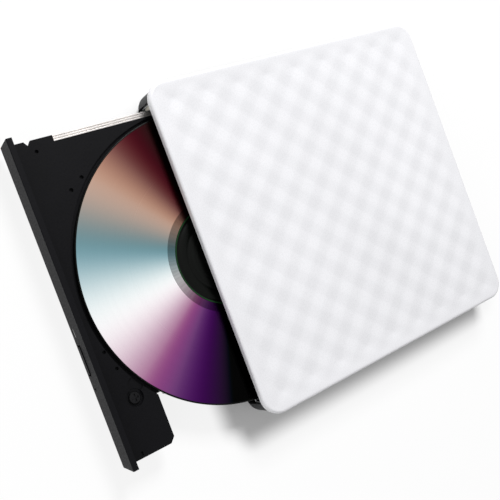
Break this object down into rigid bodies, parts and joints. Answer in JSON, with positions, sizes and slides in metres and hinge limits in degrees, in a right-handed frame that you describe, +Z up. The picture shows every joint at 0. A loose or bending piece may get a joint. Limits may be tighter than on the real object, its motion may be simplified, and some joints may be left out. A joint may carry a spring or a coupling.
{
  "type": "external disc drive",
  "caption": "Slim external disc drive: low housing with an embossed white lid and a dark tray that slides out of its front on telescoping rails, carrying a disc on a spindle.",
  "frame": {"origin": "middle of the housing's footprint, on the table that the feet stand on", "axes": "-Y is the front that the tray slides out of, +X is the user's right, +Z is up"},
  "size_m": [0.14, 0.2021, 0.019],
  "materials": {
    "white_shell": "satin white moulded plastic with shallow embossed diamonds",
    "case_black": "fine-grained dark grey moulded plastic",
    "foot_rubber": "soft black rubber",
    "screw_steel": "plated steel screws",
    "dark_screw": "blackened steel screw",
    "board_green": "green circuit board with solder mask",
    "chip_black": "black moulded plastic",
    "bright_steel": "bright plated steel",
    "sheet_steel": "zinc-plated sheet steel",
    "rail_steel": "rolled steel rail with fine lengthwise lines",
    "white_plastic": "natural low-friction plastic",
    "ribbon_film": "pale flat ribbon film",
    "tray_black": "textured black moulded plastic",
    "bezel_black": "dark grey moulded plastic",
    "clear_plastic": "cloudy clear light guide",
    "traverse_metal": "die-cast light alloy",
    "brass_screw": "machined brass lead screw",
    "sled_plastic": "filled black plastic",
    "lens_glass": "coated objective lens",
    "copper_coil": "lacquered copper winding",
    "hub_grey": "grey moulded plastic",
    "disc_mirror": "mirrored disc with rainbow sheen"
  },
  "bodies": {
    "housing": {"top_cover": "white_shell", "bottom_case": "case_black", "rubber_feet": "foot_rubber", "case_screws": "screw_steel", "bridge_board": "board_green", "bridge_chips": "chip_black", "data_plug": "chip_black", "usb_socket": "bright_steel", "usb_tongue": "chip_black", "drive_chassis": "sheet_steel", "drive_top_plate": "sheet_steel", "plate_screws": "screw_steel", "left_guide": "white_plastic", "right_guide": "white_plastic", "drive_board": "board_green", "data_socket": "chip_black", "ribbon": "ribbon_film", "ribbon_socket": "white_plastic", "latch_pin": "bright_steel"},
    "left_rail": {"left_rail": "rail_steel"},
    "right_rail": {"right_rail": "rail_steel"},
    "tray": {"tray": "tray_black", "bezel": "bezel_black", "indicator_lens": "clear_plastic", "tray_board": "board_green", "tray_chips": "chip_black", "eject_switch": "bright_steel", "tray_socket": "white_plastic", "tray_cover": "sheet_steel", "cover_screws": "screw_steel", "wing_screw": "dark_screw", "traverse_plate": "traverse_metal", "dampers": "foot_rubber", "damper_screws": "screw_steel", "guide_rods": "bright_steel", "sled_motor": "bright_steel", "spindle_base": "traverse_metal", "spindle_coils": "copper_coil", "latch_screw": "screw_steel", "latch_magnet": "copper_coil"},
    "button": {"eject_button": "bezel_black"},
    "rotor": {"spindle_rotor": "bright_steel", "turntable": "tray_black", "grip_ring": "foot_rubber", "hub_cap": "hub_grey", "disc": "disc_mirror"},
    "claw_a": {"claw_a": "hub_grey"},
    "claw_b": {"claw_b": "hub_grey"},
    "claw_c": {"claw_c": "hub_grey"},
    "feed_screw": {"lead_screw": "brass_screw"},
    "sled": {"pickup_sled": "sled_plastic"},
    "lens": {"lens_holder": "sled_plastic", "objective_lens": "lens_glass"},
    "latch": {"latch_lever": "white_plastic"}
  },
  "joints": [
    {"name": "tray_slide", "type": "slide", "parent": "housing", "child": "tray", "axis": [0, -1, 0], "range_m": [-0.0565, 0.0715], "deforming": ["ribbon"]},
    {"name": "left_rail_slide", "type": "slide", "parent": "housing", "child": "left_rail", "axis": [0, -1, 0], "range_m": [-0.04238, 0.05362]},
    {"name": "right_rail_slide", "type": "slide", "parent": "housing", "child": "right_rail", "axis": [0, -1, 0], "range_m": [-0.04238, 0.05362]},
    {"name": "eject_press", "type": "slide", "parent": "tray", "child": "button", "axis": [0, 1, 0], "range_m": [0, 0.0006], "stiffness_N_per_m": 800},
    {"name": "spindle_spin", "type": "hinge", "parent": "tray", "child": "rotor", "pos_m": [0.002, -0.0633, 0.0118], "axis": [0, 0, 1], "continuous": true},
    {"name": "claw_a_slide", "type": "slide", "parent": "rotor", "child": "claw_a", "axis": [0, -1, 0], "range_m": [0, 0.0006], "stiffness_N_per_m": 500},
    {"name": "claw_b_slide", "type": "slide", "parent": "rotor", "child": "claw_b", "axis": [0.866, 0.5, 0], "range_m": [0, 0.0006], "stiffness_N_per_m": 500},
    {"name": "claw_c_slide", "type": "slide", "parent": "rotor", "child": "claw_c", "axis": [-0.866, 0.5, 0], "range_m": [0, 0.0006], "stiffness_N_per_m": 500},
    {"name": "sled_slide", "type": "slide", "parent": "tray", "child": "sled", "axis": [-0.7071, 0.7071, 0], "range_m": [-0.0055, 0.027]},
    {"name": "feed_turn", "type": "hinge", "parent": "tray", "child": "feed_screw", "pos_m": [-0.01037, -0.07567, 0.0062], "axis": [-0.7071, 0.7071, 0], "range_deg": [-661, 3241]},
    {"name": "lens_focus", "type": "slide", "parent": "sled", "child": "lens", "axis": [0, 0, 1], "range_m": [-0.0003, 0.0003], "stiffness_N_per_m": 120},
    {"name": "latch_swing", "type": "hinge", "parent": "tray", "child": "latch", "pos_m": [0.0515, -0.1231, 0.0092], "axis": [0, 0, 1], "range_deg": [-17, 0]}
  ],
  "couplings": [
    {"joint": "left_rail_slide", "follows": "tray_slide", "ratio": 0.75},
    {"joint": "right_rail_slide", "follows": "tray_slide", "ratio": 0.75},
    {"joint": "feed_turn", "follows": "sled_slide", "rad_per_m": 2094.4},
    {"joint": "claw_b_slide", "follows": "claw_a_slide", "ratio": 1},
    {"joint": "claw_c_slide", "follows": "claw_a_slide", "ratio": 1}
  ]
}
